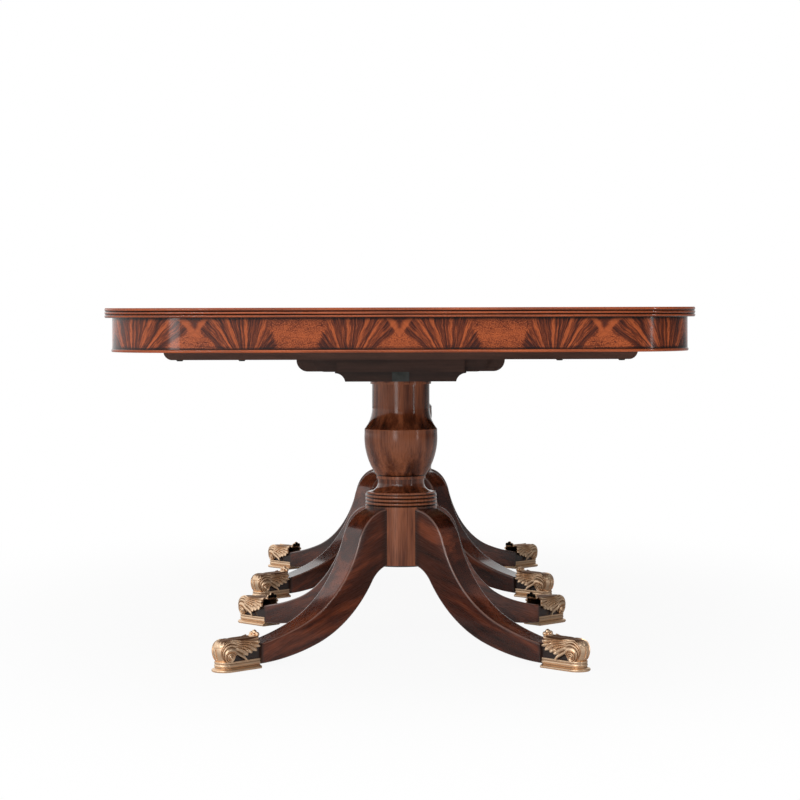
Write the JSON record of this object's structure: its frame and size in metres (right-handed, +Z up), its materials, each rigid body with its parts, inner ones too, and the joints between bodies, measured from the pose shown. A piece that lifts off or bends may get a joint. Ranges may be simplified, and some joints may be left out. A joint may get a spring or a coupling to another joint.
{
  "type": "dining table",
  "caption": "Pedestal extension dining table with a reeded-edge rounded top, flame-veneered apron, turned columns, sabre legs and cast brass toe caps; it slides open for leaves.",
  "frame": {"origin": "floor under the middle of the closed table", "axes": "+Z up, Y along the length from the near half to the far half, X across the width"},
  "size_m": [1.22, 2.574, 0.775],
  "materials": {
    "top_veneer": "polished flame mahogany veneer with a crossbanded border",
    "flame_veneer": "polished book-matched flame mahogany veneer",
    "edge_mahogany": "polished solid mahogany",
    "polished_mahogany": "French-polished red mahogany",
    "dark_mahogany": "dark stained",
    "slide_hardwood": "waxed hardwood",
    "antique_brass": "cast, antiqued",
    "steel": "plain"
  },
  "bodies": {
    "near_half": {"alignment_pins": "antique_brass", "apron_bead_near": "edge_mahogany", "bearer_bolts_near": "steel", "bearer_cleats_near": "dark_mahogany", "column_near": "polished_mahogany", "corner_rail_left_near": "flame_veneer", "corner_rail_right_near": "flame_veneer", "cross_bearer_near": "dark_mahogany", "end_rail_near": "flame_veneer", "fixed_runners_near": "slide_hardwood", "leg_brace_disc_near": "steel", "leg_left_back_near": "polished_mahogany", "leg_left_front_near": "polished_mahogany", "leg_right_back_near": "polished_mahogany", "leg_right_front_near": "polished_mahogany", "packing_blocks_near": "dark_mahogany", "pedestal_bearer_near": "dark_mahogany", "pedestal_plate_near": "dark_mahogany", "reeded_edge_near": "edge_mahogany", "side_rail_left_near": "flame_veneer", "side_rail_right_near": "flame_veneer", "slide_batten_near": "slide_hardwood", "stay_plates_near": "steel", "toe_cap_left_back_near": "antique_brass", "toe_cap_left_front_near": "antique_brass", "toe_cap_right_back_near": "antique_brass", "toe_cap_right_front_near": "antique_brass", "top_panel_near": "top_veneer"},
    "far_half": {"apron_bead_far": "edge_mahogany", "bearer_bolts_far": "steel", "bearer_cleats_far": "dark_mahogany", "column_far": "polished_mahogany", "corner_rail_left_far": "flame_veneer", "corner_rail_right_far": "flame_veneer", "cross_bearer_far": "dark_mahogany", "end_rail_far": "flame_veneer", "fixed_runners_far": "slide_hardwood", "latch_keepers": "steel", "leg_brace_disc_far": "steel", "leg_left_back_far": "polished_mahogany", "leg_left_front_far": "polished_mahogany", "leg_right_back_far": "polished_mahogany", "leg_right_front_far": "polished_mahogany", "packing_blocks_far": "dark_mahogany", "pedestal_bearer_far": "dark_mahogany", "pedestal_plate_far": "dark_mahogany", "reeded_edge_far": "edge_mahogany", "side_rail_left_far": "flame_veneer", "side_rail_right_far": "flame_veneer", "slide_batten_far": "slide_hardwood", "stay_plates_far": "steel", "toe_cap_left_back_far": "antique_brass", "toe_cap_left_front_far": "antique_brass", "toe_cap_right_back_far": "antique_brass", "toe_cap_right_front_far": "antique_brass", "top_panel_far": "top_veneer"},
    "middle_slide": {"middle_runners": "slide_hardwood"},
    "latch_left": {"latch_left": "steel"},
    "latch_right": {"latch_right": "steel"}
  },
  "joints": [
    {"name": "table_extension", "type": "slide", "parent": "near_half", "child": "far_half", "axis": [0, 1, 0], "range_m": [0, 1.016]},
    {"name": "middle_slide_travel", "type": "slide", "parent": "near_half", "child": "middle_slide", "axis": [0, 1, 0], "range_m": [0, 0.508]},
    {"name": "latch_left_swing", "type": "hinge", "parent": "near_half", "child": "latch_left", "pos_m": [-0.45, -0.06, 0.749], "axis": [0, 0, 1], "range_deg": [0, 90]},
    {"name": "latch_right_swing", "type": "hinge", "parent": "near_half", "child": "latch_right", "pos_m": [0.45, -0.06, 0.749], "axis": [0, 0, 1], "range_deg": [-90, 0]}
  ],
  "couplings": [
    {"joint": "middle_slide_travel", "follows": "table_extension", "ratio": 0.5}
  ]
}
